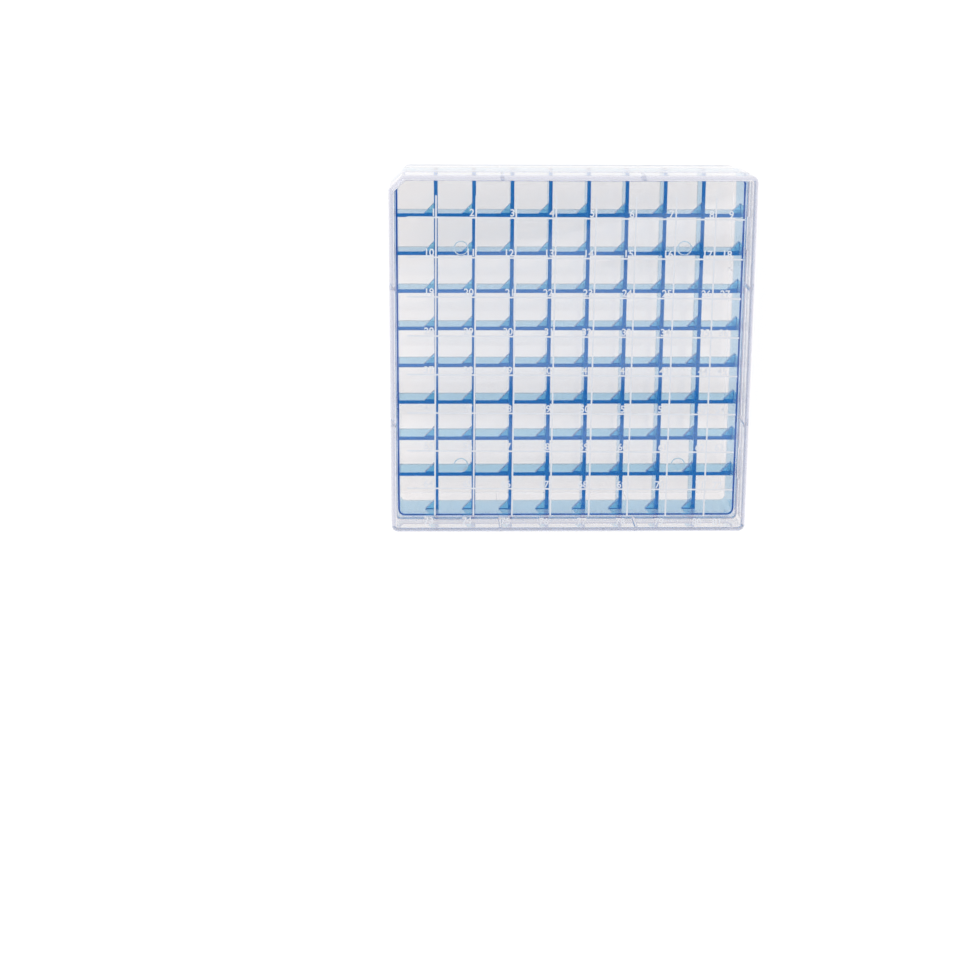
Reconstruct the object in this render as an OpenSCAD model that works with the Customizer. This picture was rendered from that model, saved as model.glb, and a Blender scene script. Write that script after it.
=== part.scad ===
// Storage box for cryogenic vials: a clear base, a clear lift-off lid and a coloured cell grid.
// Millimetres, +Z up. The origin is under the middle of the box, on the table.
// The grid is one moulding on the real box. Here its frame, its walls and its corner webs are
// separate solids that meet face to face.
// The lid and the base have the draft of mouldings: their sides lean out towards their rims.

/* [Box] */
// Outside width of the square lid at the edge of its skirt, the widest place
lid_w = 134; // [118:0.1:150]
// Height of the closed box
box_h = 52; // [47:0.5:60]
// Leg of the cut corner that keys the lid, the base and the grid to each other
key_leg = 5.3; // [4.5:0.1:9]

/* [Lid] */
// Thickness of the lid's sides at the edge of its skirt
lid_wall = 0.6; // [0.5:0.05:1.2]
// Thickness of the lid's sides under its top
lid_wall_high = 1.75; // [1.4:0.05:2]
// Thickness of the lid's top
lid_plate = 1.5; // [1:0.1:2.5]
// Depth of the lid from its top to the edge of its skirt
lid_h = 25.5; // [18:0.5:32]
// How far each side of the lid leans out between its top and the edge of its skirt
lid_lean = 0.25; // [0.1:0.05:0.5]
// Radius of the lid's upright corners at the edge of its skirt
lid_corner_r = 2.8; // [2.6:0.1:4]
// Radius along the lid's top edge
lid_edge_r = 2; // [0.6:0.1:2.2]
// Width of a rib inside the lid that stands on the base's rim, and of a foot under the grid
rib_w = 1.2; // [1:0.1:4]
// How far a rib stands out from the lid's side
rib_d = 1.1; // [0.9:0.1:3]
// Distance from the lid's side to the nearest rib, and to the foot in line with it
rib_setback = 41.4; // [34:0.1:50]
// Diameter of the flat pips under the lid's top, where they stand on it
pip_d = 5.6; // [3:0.1:7]
// Height of a pip, whose side slopes at 45 degrees
pip_h = 0.2; // [0.1:0.05:1]
// Distance from the lid's side to the middle of a pip
pip_setback = 26.4; // [15:0.1:35]

/* [Base] */
// Clearance between the base's rim and the lid on each side, which the pads take up
lid_gap = 0.15; // [0.1:0.05:0.4]
// Thickness of the base's sides
base_wall = 0.8; // [0.6:0.05:1.4]
// Thickness of the base's floor
base_floor = 1.5; // [1:0.1:2.5]
// Height of the base's rim
base_h = 37.5; // [36:0.5:42]
// How far each side of the base leans out between its floor and its rim
base_lean = 0.15; // [0.05:0.05:0.3]
// Radius of the base's upright corners at its rim
base_corner_r = 2.2; // [1.8:0.1:4]
// Radius along the base's bottom edge
base_edge_r = 0.8; // [0.4:0.1:1.4]
// Radius inside the lid and the base, where the sides meet the top or the floor
inside_r = 0.3; // [0.2:0.1:0.6]
// Width of a pad on the outside of the rim that centres the lid
pad_w = 12.4; // [6:0.1:16]
// Height of a pad, measured down from the rim
pad_h = 4.2; // [2:0.1:6]
// Distance from the lid's side to the middle of a pad
pad_setback = 23; // [17:0.1:24]
// Height of the feet on the base's floor that carry the grid
foot_h = 14.3; // [11:0.1:16]

/* [Grid] */
// Clearance between the grid's frame and the base's rim, on each side
grid_gap = 0.25; // [0.2:0.05:0.5]
// Thickness of the grid's frame
frame_wall = 0.5; // [0.5:0.05:1.4]
// Height of the grid's frame
frame_h = 19.5; // [16:0.1:21]
// Radius of the frame's upright corners
frame_corner_r = 2.6; // [2.2:0.1:4]
// Number of cells along each side
cells = 9; // [6:1:10]
// Thickness of the walls between cells
cell_wall = 1.4; // [0.8:0.1:1.6]
// Height of the walls between cells
cell_wall_h = 13.4; // [8:0.1:15]
// How much wider the cells along the frame are than the others
end_cell_extra = 0.75; // [0:0.05:1]
// Leg of the triangular web in a corner of each cell
web_leg = 3.8; // [2:0.1:4.5]
// Height of a web
web_h = 2.5; // [1:0.1:6]

/* [Hidden] */
$fn = 64;
// Reach of a cutter past the face that it cuts
over = 1;
clear_plastic = [0.88, 0.89, 0.93, 0.4];
blue_plastic = [0.05, 0.36, 0.72, 0.75];

// How far the inside of each side of the lid leans out
lid_inside_lean = lid_lean + lid_wall_high - lid_wall;
lid_ceiling = box_h - lid_plate;
// The part of that lean between the edge of the skirt and the base's rim
rim_share = (lid_h - box_h + base_h) / (lid_h - lid_plate - inside_r);

// Each outline lies this far inside the lid's own at the edge of its skirt
lid_rim_inset = lid_wall + rim_share * lid_inside_lean;
base_inset = lid_rim_inset + lid_gap;
base_cavity_inset = base_inset + base_wall;
frame_inset = base_cavity_inset + grid_gap;
grid_inset = frame_inset + frame_wall;

frame_bottom = base_floor + foot_h;
frame_top = frame_bottom + frame_h;
cell_wall_top = frame_bottom + cell_wall_h;
// Row and column walls are halved into each other at this height
lap_z = frame_bottom + cell_wall_h / 2;

grid_w = lid_w - 2 * grid_inset;
cell_w = (grid_w - 2 * end_cell_extra - (cells - 1) * cell_wall) / cells;
cell_pitch = cell_w + cell_wall;

WALLS = [for (i = [1 : cells - 1]) i];

// Half of the width left inside an inset
function half(inset) = lid_w / 2 - inset;

// Place of the middle of wall i, counted from the low side
function wall_at(i) = end_cell_extra + i * cell_pitch - cell_wall / 2 - grid_w / 2;

// Low and high ends of cell i, counted from the low side
function cell_low(i) = i == 0 ? -grid_w / 2 : wall_at(i) + cell_wall / 2;
function cell_high(i) = i == cells - 1 ? grid_w / 2 : wall_at(i + 1) - cell_wall / 2;

// Leg of the keyed corner at an inset, so that the corner's face lies that far inside as well
function key(inset) = key_leg - (2 - sqrt(2)) * inset;

// Sweeps an upright section once round the square outline at an inset, with corners of radius r.
// The section's x = r is the outline itself, and its y is the height.
module swept(inset, r) {
    c = half(inset) - r;
    for (a = [0 : 90 : 270])
        rotate(a) translate([c, c, 0]) {
            rotate_extrude(angle = 90) children();
            rotate([90, 0, 0]) linear_extrude(2 * c) children();
        }
}

// What a round of radius e takes off a corner of a section, with the corner at the origin
module edge_round(e) {
    difference() {
        translate([-e, -e]) square(e + over);
        translate([-e, -e]) circle(e);
    }
}

// Section of a side that leans out by lean up to x = r at z1 and goes straight up from there.
// Its lower edge has a round of radius e.
module leaning_section(r, z0, z1, up, e, lean) {
    difference() {
        polygon(concat(
            [[0, z0], [r - lean, z0], [r - lean, z0 + e], [r, z1]],
            up > 0 ? [[r, z1 + up]] : [],
            [[0, z1 + up]]
        ));
        translate([r - lean, z0]) mirror([0, 1]) edge_round(e);
    }
}

// A solid block with the children as the section of its sides. Its -X +Y corner is cut off. That
// cut leans as the sides do, and its lower edge has a flat of leg b.
module keyed_block(inset, r, z0, z1, b, lean = 0, up = 0) {
    d = (2 * half(inset) - key(inset)) / sqrt(2);
    difference() {
        union() {
            translate([0, 0, z0]) linear_extrude(z1 - z0)
                square(2 * (half(inset) - r), center = true);
            swept(inset, r) children();
        }
        rotate(135) rotate([90, 0, 0]) linear_extrude(4 * key_leg, center = true)
            polygon(concat(
                [[d - lean - b - over, z0 - over], [d + 2 * key_leg, z0 - over]],
                [[d + 2 * key_leg, z1 + over], [d, z1 + over]],
                lean > 0 ? [[d, z1 - up]] : [],
                [[d - lean, z0 + b]]
            ));
    }
}

// An open tray with a plate of thickness t, its closed side at z = 0 and its rim at z = h
module tray(inset, r, wall, t, h, e, lean, inside_lean) {
    difference() {
        keyed_block(inset, r, 0, h, 0.6 * e, lean)
            leaning_section(r, 0, h, 0, e, lean);
        keyed_block(inset + wall, r - wall, t, h + over, 0.6 * inside_r, inside_lean, over)
            leaning_section(r - wall, t, h, over, inside_r, inside_lean);
    }
}

// The children twice on each of the four sides, mirrored, at this distance from the side's middle
module on_sides(offset_x) {
    for (a = [0 : 90 : 270], s = [-1, 1])
        rotate(a) translate([s * offset_x, 0, 0]) children();
}

// An upright block on the -Y side, between two insets and two heights
module side_block(w, outer_inset, inner_inset, z0, z1) {
    translate([-w / 2, -half(outer_inset), z0])
        cube([w, inner_inset - outer_inset, z1 - z0]);
}

// A flat pip that hangs under the lid's top and reaches a little way into it
module pip() {
    sunk = lid_plate / 4;
    translate([0, 0, lid_ceiling - pip_h])
        cylinder(d1 = pip_d - 2 * pip_h, d2 = pip_d + 2 * sunk, h = pip_h + sunk);
}

module lid() {
    color(clear_plastic) {
        translate([0, 0, box_h]) mirror([0, 0, 1])
            tray(
                0, lid_corner_r, lid_wall, lid_plate, lid_h, lid_edge_r, lid_lean, lid_inside_lean
            );
        on_sides(half(rib_setback))
            side_block(
                rib_w, (lid_lean + lid_rim_inset) / 2, lid_rim_inset + rib_d,
                base_h, lid_ceiling + lid_plate / 8
            );
        for (x = [-1, 1], y = [-1, 1])
            translate([x * half(pip_setback), y * half(pip_setback), 0]) pip();
    }
}

module base() {
    color(clear_plastic) {
        tray(
            base_inset, base_corner_r, base_wall, base_floor, base_h, base_edge_r, base_lean, base_lean
        );
        on_sides(half(pad_setback))
            side_block(pad_w, lid_rim_inset, base_inset + base_wall / 2, base_h - pad_h, base_h);
        on_sides(half(rib_setback))
            side_block(
                rib_w, base_cavity_inset - base_wall / 3, grid_inset,
                base_floor / 2, frame_bottom
            );
    }
}

module grid_frame() {
    inside_corner_r = frame_corner_r - frame_wall;
    color(blue_plastic)
        difference() {
            keyed_block(frame_inset, frame_corner_r, frame_bottom, frame_top, -over / 2)
                translate([0, frame_bottom]) square([frame_corner_r, frame_h]);
            keyed_block(
                grid_inset, inside_corner_r, frame_bottom - over, frame_top + over, -over / 2
            )
                translate([0, frame_bottom - over])
                    square([inside_corner_r, frame_h + 2 * over]);
        }
}

// A wall along X through the middle of the grid, with a notch at each crossing
module cell_divider(notch_z) {
    difference() {
        translate([-grid_w / 2, -cell_wall / 2, frame_bottom])
            cube([grid_w, cell_wall, cell_wall_h]);
        for (i = WALLS)
            translate([wall_at(i) - cell_wall / 2, -cell_wall / 2 - over, notch_z])
                cube([cell_wall, cell_wall + 2 * over, cell_wall_h]);
    }
}

// Row walls count from the keyed side, +Y, and are notched from above
module row_wall(i) {
    color(blue_plastic) translate([0, wall_at(cells - i), 0]) cell_divider(lap_z);
}

// Column walls count from the keyed side, -X, and are notched from below
module column_wall(i) {
    color(blue_plastic)
        translate([wall_at(i), 0, 0]) rotate(90) cell_divider(lap_z - cell_wall_h);
}

// One web in the +X -Y corner of every cell except the last, where the frame itself is round
module corner_webs() {
    color(blue_plastic)
        for (i = [0 : cells - 1], j = [0 : cells - 1])
            if (i < cells - 1 || j > 0)
                translate([cell_high(i), cell_low(j), cell_wall_top - web_h])
                    linear_extrude(web_h) polygon([[0, 0], [0, web_leg], [-web_leg, 0]]);
}

lid();
base();
grid_frame();
for (i = WALLS) {
    row_wall(i);
    column_wall(i);
}
corner_webs();
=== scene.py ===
import math
import bpy
from mathutils import Matrix, Vector


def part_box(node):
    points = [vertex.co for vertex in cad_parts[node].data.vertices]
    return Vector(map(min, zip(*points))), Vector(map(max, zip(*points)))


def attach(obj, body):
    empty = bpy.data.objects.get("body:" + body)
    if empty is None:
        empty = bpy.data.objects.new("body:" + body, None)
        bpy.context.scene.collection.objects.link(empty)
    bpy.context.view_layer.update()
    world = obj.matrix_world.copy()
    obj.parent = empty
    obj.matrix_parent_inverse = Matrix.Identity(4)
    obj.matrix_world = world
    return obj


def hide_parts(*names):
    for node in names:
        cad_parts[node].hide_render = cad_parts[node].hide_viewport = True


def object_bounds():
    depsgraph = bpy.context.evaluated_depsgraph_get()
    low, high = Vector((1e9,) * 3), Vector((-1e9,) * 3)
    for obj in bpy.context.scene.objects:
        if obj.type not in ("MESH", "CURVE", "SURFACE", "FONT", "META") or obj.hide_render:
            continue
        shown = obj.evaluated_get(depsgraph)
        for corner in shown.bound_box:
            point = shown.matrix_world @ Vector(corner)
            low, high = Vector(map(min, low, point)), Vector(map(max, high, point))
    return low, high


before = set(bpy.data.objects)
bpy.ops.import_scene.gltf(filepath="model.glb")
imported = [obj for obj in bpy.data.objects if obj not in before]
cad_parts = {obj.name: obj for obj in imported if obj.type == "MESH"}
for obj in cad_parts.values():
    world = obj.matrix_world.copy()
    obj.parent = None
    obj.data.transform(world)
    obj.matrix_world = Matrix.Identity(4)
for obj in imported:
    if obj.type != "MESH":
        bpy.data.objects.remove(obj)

cadLow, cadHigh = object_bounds()
scene = bpy.context.scene
mm = 0.001


# sRGB hex to the linear colour that a shader socket takes
def toLinear(hexColour):
    channels = [int(hexColour[i:i + 2], 16) / 255 for i in (0, 2, 4)]
    return [c / 12.92 if c <= 0.04045 else ((c + 0.055) / 1.055) ** 2.4 for c in channels] + [1]


# Adds one node: settings are its own fields or its sockets, links are socket to source
def addNode(tree, kind, settings=None, links=None):
    node = tree.nodes.new(kind)
    for key, value in (settings or {}).items():
        if isinstance(key, str) and hasattr(node, key):
            setattr(node, key, value)
        else:
            node.inputs[key].default_value = value
    for key, source in (links or {}).items():
        tree.links.new(source, node.inputs[key])
    return node


def emptyMaterial(name):
    material = bpy.data.materials.new(name)
    material.use_nodes = True
    material.node_tree.nodes.clear()
    return material, material.node_tree


# Camera at the photograph's angle, fitted to the lid's and the cells' edges
photoCamera = {
    "lens": 70.418,
    "sensor": 36,
    "nearest": 0.01,  # m, what it can see
    "farthest": 50,
    "place": (-46.914, 139.907, 743.871),  # mm
    "forward": (0.02396, -0.26465, -0.96405),
    "up": (0.00196, 0.96433, -0.26468),
}


def makeCamera(s):
    data = bpy.data.cameras.new("photoCamera")
    data.sensor_width = s["sensor"]
    data.lens = s["lens"]
    data.clip_start = s["nearest"]
    data.clip_end = s["farthest"]
    camera = bpy.data.objects.new("photoCamera", data)
    scene.collection.objects.link(camera)
    back = -Vector(s["forward"]).normalized()
    right = Vector(s["up"]).cross(back).normalized()
    up = back.cross(right)
    turn = Matrix((right, up, back)).transposed().to_4x4()
    camera.matrix_world = Matrix.Translation(Vector(s["place"]) * mm) @ turn
    scene.camera = camera


makeCamera(photoCamera)
print("camera placed")

# Floor, light tent and lamps
studio = {
    "floorSize": 12,  # m
    "floorDrop": 0.1,  # mm under the box, so the two faces don't share a plane
    "floorColour": "F4F4F5",  # as light bounces off it
    "floorTint": "FFFEFD",  # as it is seen: its own white and what the lamps add
    "floorGlow": 0.82,
    "floorLit": "989898",
    "tent": [(0.0, "FFFFFF"), (0.9, "F0F1F4"), (0.945, "6C6E76"), (1.0, "5A5C64")],  # by height
    "tentStrength": 1.0,
    # Strip panels overhead, whose pale bars lie on the lid, and a lamp at the side
    "lamps": [  # name, size in m, power, place in m, aim in m, turn in degrees
        ("farPanel", (0.40, 0.040), 0.030, (0.10, -0.168, 1.5), (0.10, -0.168, 0), 12),
        ("middlePanel", (0.46, 0.133), 0.126, (0.10, -0.254, 1.5), (0.10, -0.254, 0), 0),
        ("nearPanel", (0.46, 0.043), 0.038, (0.10, -0.386, 1.5), (0.10, -0.386, 0), 0),
        ("sideLamp", (0.9, 0.9), 5, (-1.1, 0.9, 1.2), (0, 0, 0), 0),
    ],
}


def makeStudio(s):
    half = s["floorSize"] / 2
    drop = cadLow.z - s["floorDrop"] * mm
    mesh = bpy.data.meshes.new("studioFloor")
    corners = [(-half, -half, drop), (half, -half, drop), (half, half, drop), (-half, half, drop)]
    mesh.from_pydata(corners, [], [(0, 1, 2, 3)])
    floor = bpy.data.objects.new("studioFloor", mesh)
    scene.collection.objects.link(floor)

    # White paper sweep: part of its white is its own, and the rest takes the box's shadow
    material, tree = emptyMaterial("white paper sweep")
    path = addNode(tree, "ShaderNodeLightPath")
    seen = addNode(tree, "ShaderNodeMath", {"operation": "MAXIMUM"},
                   {0: path.outputs["Is Camera Ray"], 1: path.outputs["Is Glossy Ray"]})
    seen = addNode(tree, "ShaderNodeMath", {"operation": "MAXIMUM"},
                   {0: seen.outputs[0], 1: path.outputs["Is Transmission Ray"]})
    glow = addNode(tree, "ShaderNodeEmission",
                   {"Color": toLinear(s["floorTint"]), "Strength": s["floorGlow"]})
    lit = addNode(tree, "ShaderNodeBsdfDiffuse", {"Color": toLinear(s["floorLit"])})
    both = addNode(tree, "ShaderNodeAddShader", None, {0: glow.outputs[0], 1: lit.outputs[0]})
    paper = addNode(tree, "ShaderNodeBsdfDiffuse", {"Color": toLinear(s["floorColour"])})
    mix = addNode(tree, "ShaderNodeMixShader", None,
                  {0: seen.outputs[0], 1: paper.outputs[0], 2: both.outputs[0]})
    addNode(tree, "ShaderNodeOutputMaterial", None, {"Surface": mix.outputs[0]})
    mesh.materials.append(material)

    # Light tent: white all round down to the horizon, with a dim opening overhead for the camera
    world = bpy.data.worlds.new("lightTent")
    world.use_nodes = True
    scene.world = world
    tree = world.node_tree
    tree.nodes.clear()
    where = addNode(tree, "ShaderNodeTexCoord")
    parts = addNode(tree, "ShaderNodeSeparateXYZ", None, {0: where.outputs["Generated"]})
    ramp = addNode(tree, "ShaderNodeValToRGB", None, {0: parts.outputs["Z"]})
    stops = ramp.color_ramp.elements
    while len(stops) < len(s["tent"]):
        stops.new(0.5)
    for stop, (height, colour) in zip(stops, s["tent"]):
        stop.position = height
        stop.color = toLinear(colour)
    tent = addNode(tree, "ShaderNodeBackground", {"Strength": s["tentStrength"]},
                   {"Color": ramp.outputs[0]})
    addNode(tree, "ShaderNodeOutputWorld", None, {"Surface": tent.outputs[0]})

    for name, size, power, place, aim, turn in s["lamps"]:
        lamp = bpy.data.lights.new(name, "AREA")
        lamp.shape = "RECTANGLE"
        lamp.size, lamp.size_y = size
        lamp.energy = power
        holder = bpy.data.objects.new(name, lamp)
        holder.location = place
        pointing = (Vector(aim) - Vector(place)).to_track_quat("-Z", "Y").to_matrix()
        holder.rotation_euler = (pointing @ Matrix.Rotation(math.radians(turn), 3, "Z")).to_euler()
        scene.collection.objects.link(holder)


makeStudio(studio)
print("studio lit")

# Rays cross the lid, several cell walls and the base before they reach the floor
scene.cycles.max_bounces = 32
scene.cycles.transmission_bounces = 32
scene.cycles.glossy_bounces = 24
scene.cycles.transparent_max_bounces = 40
scene.view_settings.view_transform = "Standard"

# Clear polycarbonate: glossy skin with a slow waviness, and a bluish grey on long ways through it
clearPolycarbonate = {
    "name": "clear polycarbonate moulded",
    "colour": "FFFDFB",
    "absorbColour": "959FC5",
    "absorbDensity": 28,  # per m
    "shade": "F4F2F5",  # in its shadow, per surface
    "leak": "FCFBFC",  # past the long way, per surface
    "longWay": 5,  # surfaces
    "waveDepth": 0.002,  # mm
}
# Blue polycarbonate: the same skin, pale blue across a wall and deep blue along it
bluePolycarbonate = {
    "name": "blue polycarbonate moulded",
    "colour": "E7EEF7",
    "absorbColour": "2BDEF5",
    "absorbDensity": 410,  # per m
    "shade": "A8CEE6",
    "leak": "DAECF8",
    "longWay": 6,
    "waveDepth": 0.001,  # mm
}
# What both plastics share
polycarbonateSkin = {
    "ior": 1.58,
    "roughLow": 0.015,
    "roughHigh": 0.05,
    "hazeLow": 0.3,
    "hazeHigh": 0.7,
    "hazeSize": 9,  # mm
    "waveSize": 14,  # mm
}


def makePolycarbonate(s, skin):
    material, tree = emptyMaterial(s["name"])
    where = addNode(tree, "ShaderNodeTexCoord")
    haze = addNode(tree, "ShaderNodeTexNoise", {"Scale": 1 / (skin["hazeSize"] * mm), "Detail": 3.0},
                   {"Vector": where.outputs["Object"]})
    rough = addNode(tree, "ShaderNodeMapRange",
                    {"From Min": skin["hazeLow"], "From Max": skin["hazeHigh"],
                     "To Min": skin["roughLow"], "To Max": skin["roughHigh"]},
                    {"Value": haze.outputs["Fac"]})
    wave = addNode(tree, "ShaderNodeTexNoise", {"Scale": 1 / (skin["waveSize"] * mm), "Detail": 1.0},
                   {"Vector": where.outputs["Object"]})
    bump = addNode(tree, "ShaderNodeBump", {"Strength": 1.0, "Distance": s["waveDepth"] * mm},
                   {"Height": wave.outputs["Fac"]})
    glossy = addNode(tree, "ShaderNodeBsdfPrincipled",
                     {"Base Color": toLinear(s["colour"]), "IOR": skin["ior"], "Transmission Weight": 1.0},
                     {"Roughness": rough.outputs[0], "Normal": bump.outputs[0]})

    # Shadows and rays that have crossed many surfaces go straight through
    path = addNode(tree, "ShaderNodeLightPath")
    deep = addNode(tree, "ShaderNodeMath", {"operation": "GREATER_THAN", 1: s["longWay"]},
                   {0: path.outputs["Ray Depth"]})
    through = addNode(tree, "ShaderNodeMath", {"operation": "MAXIMUM"},
                      {0: path.outputs["Is Shadow Ray"], 1: deep.outputs[0]})
    tint = addNode(tree, "ShaderNodeMix",
                   {"data_type": "RGBA", 6: toLinear(s["shade"]), 7: toLinear(s["leak"])},
                   {0: deep.outputs[0]})  # 6 and 7 are its two colours
    passing = addNode(tree, "ShaderNodeBsdfTransparent", None, {"Color": tint.outputs[2]})
    whole = addNode(tree, "ShaderNodeMixShader", None,
                    {0: through.outputs[0], 1: glossy.outputs[0], 2: passing.outputs[0]})
    depth = addNode(tree, "ShaderNodeVolumeAbsorption",
                    {"Color": toLinear(s["absorbColour"]), "Density": s["absorbDensity"]})
    addNode(tree, "ShaderNodeOutputMaterial", None,
            {"Surface": whole.outputs[0], "Volume": depth.outputs[0]})
    return material


clearMaterial = makePolycarbonate(clearPolycarbonate, polycarbonateSkin)
blueMaterial = makePolycarbonate(bluePolycarbonate, polycarbonateSkin)
print("plastics mixed")


# Stations round a corner: its middle, its radius and the direction of each point
def arcStations(x, y, radius, first, last, steps):
    angles = [math.radians(first + (last - first) * k / steps) for k in range(steps + 1)]
    return [(x, y, radius, math.cos(a), math.sin(a)) for a in angles]


# A square with three round corners and a cut fourth one
def keyedOutline(half, radius, leg, keyRadius, steps):
    near = half - radius
    past = leg - half + (math.sqrt(2) - 1) * keyRadius
    return (arcStations(-near, -near, radius, 180, 270, steps)
            + arcStations(near, -near, radius, 270, 360, steps)
            + arcStations(near, near, radius, 0, 90, steps)
            + arcStations(past, half - keyRadius, keyRadius, 90, 135, steps)
            + arcStations(keyRadius - half, -past, keyRadius, 135, 180, steps))


def blockOutline(x0, y0, x1, y1, radius, steps):
    return (arcStations(x0 + radius, y0 + radius, radius, 180, 270, steps)
            + arcStations(x1 - radius, y0 + radius, radius, 270, 360, steps)
            + arcStations(x1 - radius, y1 - radius, radius, 0, 90, steps)
            + arcStations(x0 + radius, y1 - radius, radius, 90, 180, steps))


# Part of a section: points (inset, height) on an arc
def sectionArc(inset, height, radius, first, last, steps):
    angles = [math.radians(first + (last - first) * k / steps) for k in range(steps + 1)]
    return [(inset + radius * math.cos(a), height + radius * math.sin(a)) for a in angles]


# Closed skin through one ring per section point, capped above by the first and below by the last
def loft(stations, section):
    count = len(stations)
    places = []
    for inset, height in section:
        for x, y, radius, c, s in stations:
            places.append((x + (radius - inset) * c, y + (radius - inset) * s, height))
    faces = [list(range(count))]
    for ring in range(len(section) - 1):
        for i in range(count):
            a = ring * count + i
            b = ring * count + (i + 1) % count
            faces.append([a, a + count, b + count, b])
    faces.append([len(places) - 1 - i for i in range(count)])
    return places, faces


# The same skin at both ends of each of the four sides
def onSides(places, faces):
    copies = []
    for c, s in ((1, 0), (0, 1), (-1, 0), (0, -1)):
        for mirror in (1, -1):
            moved = [(x * mirror * c - y * s, x * mirror * s + y * c, z) for x, y, z in places]
            copies.append((moved, faces if mirror == 1 else [f[::-1] for f in faces]))
    return copies


def addMesh(name, skins):
    mesh = bpy.data.meshes.new(name)
    places = []
    faces = []
    for somePlaces, someFaces in skins:
        first = len(places)
        places += [(x * mm, y * mm, z * mm) for x, y, z in somePlaces]
        faces += [[first + i for i in f] for f in someFaces]
    mesh.from_pydata(places, [], faces)
    piece = bpy.data.objects.new(name, mesh)
    scene.collection.objects.link(piece)
    return piece


# One moulding from a tray and the blocks that grow out of it
def fuse(piece, blocks, creaseAngle):
    join = piece.modifiers.new("join", "BOOLEAN")
    join.operation = "UNION"
    join.solver = "EXACT"
    join.object = blocks
    graph = bpy.context.evaluated_depsgraph_get()
    mesh = bpy.data.meshes.new_from_object(piece.evaluated_get(graph))
    piece.modifiers.clear()
    piece.data = mesh
    bpy.data.objects.remove(blocks)
    mesh.shade_smooth()
    mesh.set_sharp_from_angle(angle=math.radians(creaseAngle))
    even = piece.modifiers.new("even normals", "WEIGHTED_NORMAL")
    even.keep_sharp = True


def dress(piece, body, material, nodes):
    piece.data.materials.clear()
    piece.data.materials.append(material)
    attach(piece, body)
    if nodes:
        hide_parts(*nodes)


# Lid: a drafted tray with rounded edges, ribs that stand on the base's rim and flat pips
lidMoulding = {
    "half": 66.75,  # mm at its top, as the rest here
    "lean": 0.25,
    "cornerRadius": 2.55,
    "keyLeg": 5.15,
    "keyRadius": 1.8,
    "top": 51.985,  # leaves room for the print
    "plate": 1.485,
    "low": 26.5,
    "wallHigh": 1.75,
    "wallLow": 0.6,
    "edgeRadius": 2,
    "insideRadius": 0.3,
    "lipRadius": 0.2,
    "ribAt": 25.6,
    "ribWidth": 1.2,
    "ribOuter": 66.25,
    "ribInner": 64.65,
    "ribFoot": 37.5,
    "ribRadius": 0.3,
    "pipAt": 40.6,
    "pipRadius": 2.8,
    "pipHeight": 0.06,
    "pipSlope": 0.6,
    "sunk": 0.1,  # how far the ribs and pips reach into the plate
    "steps": 8,
    "lipSteps": 3,
    "filletSteps": 4,
    "ribSteps": 5,
    "pipSteps": 10,
    "pipSides": 40,
    "crease": 40,  # degrees
}


def makeLid(s):
    lip = s["lipRadius"]
    ceiling = s["top"] - s["plate"]
    edge = s["edgeRadius"]
    fillet = s["insideRadius"]
    steps = s["steps"]
    section = sectionArc(edge, s["top"] - edge, edge, 90, 180, steps)
    section += sectionArc(lip - s["lean"], s["low"] + lip, lip, 180, 270, s["lipSteps"])
    section += sectionArc(s["wallLow"] - lip - s["lean"], s["low"] + lip, lip, 270, 360, s["lipSteps"])
    section += sectionArc(s["wallHigh"] + fillet, ceiling - fillet, fillet, 180, 90, s["filletSteps"])
    outline = keyedOutline(s["half"], s["cornerRadius"], s["keyLeg"], s["keyRadius"], steps)
    lid = addMesh("lidMoulding", [loft(outline, section)])

    root = [(0, ceiling + s["sunk"])]
    w = s["ribWidth"] / 2
    soft = s["ribRadius"]
    ends = (s["ribAt"] - w, -s["ribOuter"], s["ribAt"] + w, -s["ribInner"])
    rib = blockOutline(*ends, soft, s["ribSteps"])
    ribSection = root + sectionArc(soft, s["ribFoot"] + soft, soft, 180, 270, s["ribSteps"])
    skins = onSides(*loft(rib, ribSection))

    # A pip swells softly out of the flat
    count = s["pipSteps"]
    profile = list(root)
    for k in range(count + 1):
        swell = 0.5 - 0.5 * math.cos(math.pi * k / count)
        profile.append((s["pipSlope"] * k / count, ceiling - s["pipHeight"] * swell))
    for x in (-s["pipAt"], s["pipAt"]):
        for y in (-s["pipAt"], s["pipAt"]):
            circle = arcStations(x, y, s["pipRadius"], 0, 360, s["pipSides"])[:-1]
            skins.append(loft(circle, profile))
    fuse(lid, addMesh("lidBlocks", skins), s["crease"])
    dress(lid, "lid", clearMaterial, ["lid"])
    return lid


lidPiece = makeLid(lidMoulding)
print("lid moulded", len(lidPiece.data.polygons))

# Base: a drafted tray with pads outside its rim and feet under the grid
baseMoulding = {
    "half": 65.6,  # mm at its rim, as the rest here
    "lean": 0.15,
    "cornerRadius": 2.2,
    "keyLeg": 4.48,
    "keyRadius": 2.8,
    "top": 37.5,
    "floor": 1.5,
    "wall": 0.8,
    "edgeRadius": 0.8,
    "insideRadius": 0.3,
    "lipRadius": 0.25,
    "padAt": 44,
    "padWidth": 12.4,
    "padHeight": 4.2,
    "padDepth": 0.15,
    "padRadius": 0.1,
    "footAt": 25.6,
    "footWidth": 1.2,
    "footTop": 15.8,
    "footDepth": 0.75,
    "steps": 8,
    "lipSteps": 3,
    "filletSteps": 4,
    "crease": 40,  # degrees
}


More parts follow.
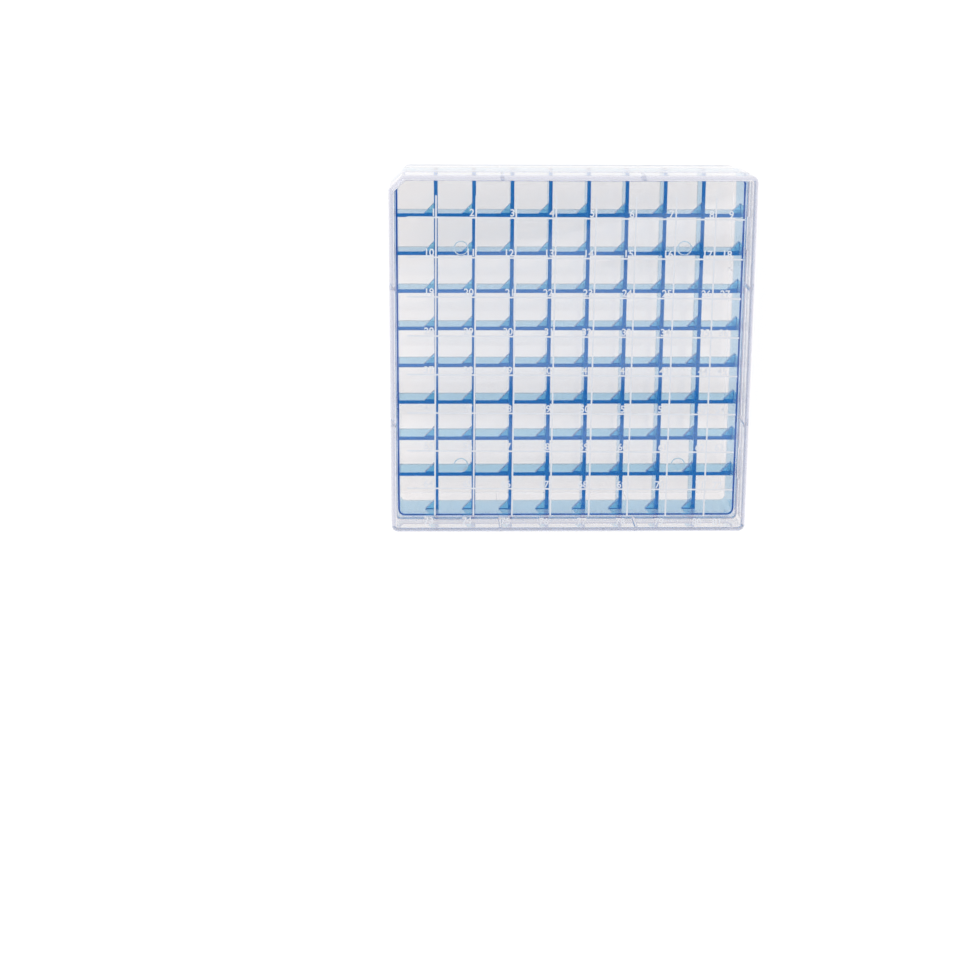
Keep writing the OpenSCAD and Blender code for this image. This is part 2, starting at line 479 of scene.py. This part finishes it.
def makeBase(s):
    wall = s["wall"]
    lip = s["lipRadius"]
    edge = s["edgeRadius"]
    fillet = s["insideRadius"]
    steps = s["steps"]
    few = s["lipSteps"]
    insideFoot = wall + s["lean"] + fillet
    section = sectionArc(insideFoot, s["floor"] + fillet, fillet, 270, 180, s["filletSteps"])
    section += sectionArc(wall - lip, s["top"] - lip, lip, 0, 90, few)
    section += sectionArc(lip, s["top"] - lip, lip, 90, 180, few)
    section += sectionArc(s["lean"] + edge, edge, edge, 180, 270, steps)
    outline = keyedOutline(s["half"], s["cornerRadius"], s["keyLeg"], s["keyRadius"], steps)
    base = addMesh("baseMoulding", [loft(outline, section)])

    # Pads and feet start inside the wall and the floor
    outer = s["half"] + s["padDepth"]
    soft = s["padRadius"]
    w = s["padWidth"] / 2
    pad = blockOutline(s["padAt"] - w, -outer, s["padAt"] + w, wall / 2 - s["half"], soft, few)
    padTop = s["top"] - lip
    padSection = sectionArc(soft, padTop - soft, soft, 90, 180, few)
    padSection += sectionArc(soft, s["top"] - s["padHeight"] + soft, soft, 180, 270, few)
    skins = onSides(*loft(pad, padSection))
    inner = s["half"] - wall
    w = s["footWidth"] / 2
    ends = (s["footAt"] - w, -inner - wall / 3, s["footAt"] + w, s["footDepth"] - inner)
    foot = blockOutline(*ends, soft, few)
    footSection = sectionArc(soft, s["footTop"] - soft, soft, 90, 180, few) + [(0, s["floor"] / 2)]
    skins += onSides(*loft(foot, footSection))
    fuse(base, addMesh("baseBlocks", skins), s["crease"])
    dress(base, "base", clearMaterial, ["base"])
    return base


basePiece = makeBase(baseMoulding)
print("base moulded", len(basePiece.data.polygons))

# Grid: frame, cell walls and corner webs as one moulding, at the places of the CAD walls
gridMoulding = {
    "cells": 9,
    "frameWall": 0.7,  # mm, as the rest here
    "frameTop": 35.3,
    "frameCornerRadius": 2.6,
    "keyLeg": 3.86,
    "webLeg": 3.8,
    "webHeight": 2.5,
    "arcSteps": 8,
    "weld": 0.0005,
    "flat": 0.5,  # degrees
    "round": 0.08,
    "roundSteps": 2,
    "sharpest": 35,  # degrees
}


# Closed mesh from upright prisms (points, low, high) that share the ends of their edges
def addPrisms(name, prisms):
    levels = sorted({round(z, 4) for prism in prisms for z in prism[1:]})
    sides = set()
    for points, low, high in prisms:
        for k in range(len(levels) - 1):
            if low - 1e-6 < levels[k] and levels[k + 1] < high + 1e-6:
                sides.update((a, b, k) for a, b in zip(points, points[1:] + points[:1]))
    index = {}
    faces = []

    def corner(point, z):
        return index.setdefault((point[0], point[1], z), len(index))

    for a, b, k in sorted(sides):
        if (b, a, k) not in sides:
            low, high = levels[k], levels[k + 1]
            faces.append([corner(a, low), corner(b, low), corner(b, high), corner(a, high)])
    for points, low, high in prisms:
        faces.append([corner(p, round(high, 4)) for p in points])
        faces.append([corner(p, round(low, 4)) for p in reversed(points)])
    return addMesh(name, [(list(index), faces)])


# A place in plan, rounded so that neighbours share it
def spot(x, y):
    return round(x, 4), round(y, 4)


# Ends of the CAD walls along one axis, in mm
def wallEnds(name, count, axis):
    boxes = [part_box("%s_%d" % (name, i)) for i in range(1, count)]
    return sorted((round(low[axis] / mm, 4), round(high[axis] / mm, 4)) for low, high in boxes)


def makeGrid(s):
    cells = s["cells"]
    columns = wallEnds("column_wall", cells, 0)
    rows = wallEnds("row_wall", cells, 1)
    wall = s["frameWall"]
    outer = round(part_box("grid_frame")[1].x / mm, 4)
    reach = outer - wall
    bottom, wallTop = wallEnds("row_wall", cells, 2)[0]
    leg = s["webLeg"]
    xSpans = list(zip([-reach] + [w[1] for w in columns], [w[0] for w in columns] + [reach]))
    ySpans = list(zip([-reach] + [w[1] for w in rows], [w[0] for w in rows] + [reach]))
    prisms = []

    # Row walls, column walls and their crossings
    for y0, y1 in rows:
        for x0, x1 in xSpans:
            points = [spot(x0, y0), spot(x1, y0), spot(x1, y1), spot(x1 - leg, y1), spot(x0, y1)]
            prisms.append((points, bottom, wallTop))
        for x0, x1 in columns:
            crossing = [spot(x0, y0), spot(x1, y0), spot(x1, y1), spot(x0, y1)]
            prisms.append((crossing, bottom, wallTop))
    for x0, x1 in columns:
        for y0, y1 in ySpans:
            points = [spot(x0, y0), spot(x1, y0), spot(x1, y1), spot(x0, y1), spot(x0, y0 + leg)]
            prisms.append((points, bottom, wallTop))

    # One web in the lower right corner of each cell but the last
    for i, (x0, x1) in enumerate(xSpans):
        for j, (y0, y1) in enumerate(ySpans):
            if i < cells - 1 or j > 0:
                web = [spot(x1 - leg, y0), spot(x1, y0), spot(x1, y0 + leg)]
                prisms.append((web, wallTop - s["webHeight"], wallTop))

    # Frame: places round its inside, each with its partner on the outside
    radius = s["frameCornerRadius"]
    near = outer - radius
    key = s["keyLeg"]
    keyIn = key - (2 - math.sqrt(2)) * wall
    alongX = [v for w in columns for v in w]
    alongY = [v for w in rows for v in w]
    frameRing = []

    def roundCorner(x, y, first):
        for cx, cy, r, c, n in arcStations(x, y, radius, first, first + 90, s["arcSteps"]):
            inside = spot(cx + (r - wall) * c, cy + (r - wall) * n)
            frameRing.append((inside, spot(cx + r * c, cy + r * n)))

    for x in sorted(alongX + [x1 - leg for x0, x1 in xSpans[:-1]]):
        frameRing.append((spot(x, -reach), spot(x, -outer)))
    roundCorner(near, -near, -90)
    for y in sorted(alongY + [y0 + leg for y0, y1 in ySpans[1:]]):
        frameRing.append((spot(reach, y), spot(outer, y)))
    roundCorner(near, near, 0)
    for x in sorted(alongX, reverse=True):
        frameRing.append((spot(x, reach), spot(x, outer)))
    frameRing.append((spot(keyIn - reach, reach), spot(key - outer, outer)))
    frameRing.append((spot(-reach, reach - keyIn), spot(-outer, outer - key)))
    for y in sorted(alongY, reverse=True):
        frameRing.append((spot(-reach, y), spot(-outer, y)))
    roundCorner(-near, -near, 180)
    for (inA, outA), (inB, outB) in zip(frameRing, frameRing[1:] + frameRing[:1]):
        prisms.append(([inA, outA, outB, inB], bottom, s["frameTop"]))

    grid = addPrisms("gridMoulding", prisms)
    weld = grid.modifiers.new("weld", "WELD")
    weld.merge_threshold = s["weld"] * mm
    flatten = grid.modifiers.new("flatten", "DECIMATE")
    flatten.decimate_type = "DISSOLVE"
    flatten.angle_limit = math.radians(s["flat"])
    bevel = grid.modifiers.new("edge round", "BEVEL")
    bevel.width = s["round"] * mm
    bevel.segments = s["roundSteps"]
    bevel.limit_method = "ANGLE"
    bevel.angle_limit = math.radians(s["sharpest"])
    walls = ["row_wall_%d" % i for i in range(1, cells)]
    walls += ["column_wall_%d" % i for i in range(1, cells)]
    dress(grid, "grid", blueMaterial, ["grid_frame", "corner_webs"] + walls)
    return grid


gridPiece = makeGrid(gridMoulding)
print("grid moulded", len(gridPiece.data.polygons))

# Number print on the lid: one thin film of white ink
numberPrint = {
    "cells": 9,
    "pitch": 14.45,  # mm, as the rest here
    "offset": (0.6, 0.9),
    "turn": -0.38,  # degrees, the print sits a little askew
    "lineWidth": 0.6,
    "across": (-61, 61),
    "upright": (-61, 58.5),
    "digitHeight": 2.6,
    "bolder": 0.02,  # of the letter size
    "curveSteps": 5,
    "digitRight": 0.65,
    "digitUp": 0.6,
    "lastColumn": 6.4,  # the ninth column's numbers stay clear of the lid's edge
    "filmLow": 51.99,
    "filmHigh": 52,
}
# White screen ink: a little lilac, with a mottle from the mesh, drawn coarser so that it shows
whiteInk = {
    "low": "E4E5EB",
    "high": "EDEEF2",
    "lowAt": 0.25,
    "highAt": 0.6,
    "speckSize": 0.6,  # mm
    "speckDepth": 0.01,  # mm
    "speckStrength": 0.3,
    "roughness": 0.5,
    "ior": 1.5,
}


def makeInk(s):
    material, tree = emptyMaterial("white screen ink printed")
    where = addNode(tree, "ShaderNodeTexCoord")
    speck = addNode(tree, "ShaderNodeTexNoise", {"Scale": 1 / (s["speckSize"] * mm), "Detail": 2.0},
                    {"Vector": where.outputs["Object"]})
    ramp = addNode(tree, "ShaderNodeValToRGB", None, {0: speck.outputs["Fac"]})
    low, high = ramp.color_ramp.elements
    low.position, high.position = s["lowAt"], s["highAt"]
    low.color, high.color = toLinear(s["low"]), toLinear(s["high"])
    bump = addNode(tree, "ShaderNodeBump",
                   {"Strength": s["speckStrength"], "Distance": s["speckDepth"] * mm},
                   {"Height": speck.outputs["Fac"]})
    skin = addNode(tree, "ShaderNodeBsdfPrincipled", {"Roughness": s["roughness"], "IOR": s["ior"]},
                   {"Base Color": ramp.outputs[0], "Normal": bump.outputs[0]})
    addNode(tree, "ShaderNodeOutputMaterial", None, {"Surface": skin.outputs[0]})
    return material


def makePrint(s):
    turn = Matrix.Rotation(math.radians(s["turn"]), 2)
    skins = []

    # A flat shape as a closed film with a skirt round its outline
    def film(points, faces):
        flat = [turn @ Vector((x + s["offset"][0], y + s["offset"][1])) for x, y in points]
        count = len(flat)
        places = [(p.x, p.y, s["filmHigh"]) for p in flat] + [(p.x, p.y, s["filmLow"]) for p in flat]
        whole = [list(f) for f in faces] + [[count + i for i in reversed(f)] for f in faces]
        edges = {(a, b) for f in faces for a, b in zip(f, f[1:] + f[:1])}
        whole += [[a, a + count, b + count, b] for a, b in sorted(edges) if (b, a) not in edges]
        skins.append((places, whole))

    def strip(x0, y0, x1, y1):
        film([(x0, y0), (x1, y0), (x1, y1), (x0, y1)], [[0, 1, 2, 3]])

    # Lines, the upright ones whole and the level ones between them
    w = s["lineWidth"] / 2
    cells = s["cells"]
    middle = cells / 2 - 1
    across = [(k - middle) * s["pitch"] for k in range(cells - 1)]
    for x in across:
        strip(x - w, s["upright"][0], x + w, s["upright"][1])
    starts = [s["across"][0]] + [x + w for x in across]
    ends = [x - w for x in across] + [s["across"][1]]
    for y in across:
        for x0, x1 in zip(starts, ends):
            strip(x0, y - w, x1, y + w)

    # Numbers, row by row from the keyed corner, each at the lower right of its cell
    for number in range(1, cells * cells + 1):
        row, column = divmod(number - 1, cells)
        curve = bpy.data.curves.new("digits", "FONT")
        curve.body = str(number)
        curve.offset = s["bolder"]
        curve.resolution_u = s["curveSteps"]
        digits = bpy.data.objects.new("digits", curve)
        made = digits.to_mesh()
        right = max(v.co.x for v in made.vertices)
        scale = s["digitHeight"] / max(v.co.y for v in made.vertices)
        x = s["lastColumn"] + across[-1]
        if column < cells - 1:
            x = across[column] - s["digitRight"]
        y = -(row - middle) * s["pitch"] + s["digitUp"]
        points = [(x + (v.co.x - right) * scale, y + v.co.y * scale) for v in made.vertices]
        film(points, [list(p.vertices) for p in made.polygons])
        digits.to_mesh_clear()
        bpy.data.objects.remove(digits)
        bpy.data.curves.remove(curve)
    dress(addMesh("lidPrint", skins), "lid", makeInk(whiteInk), [])


makePrint(numberPrint)
print("lid printed")
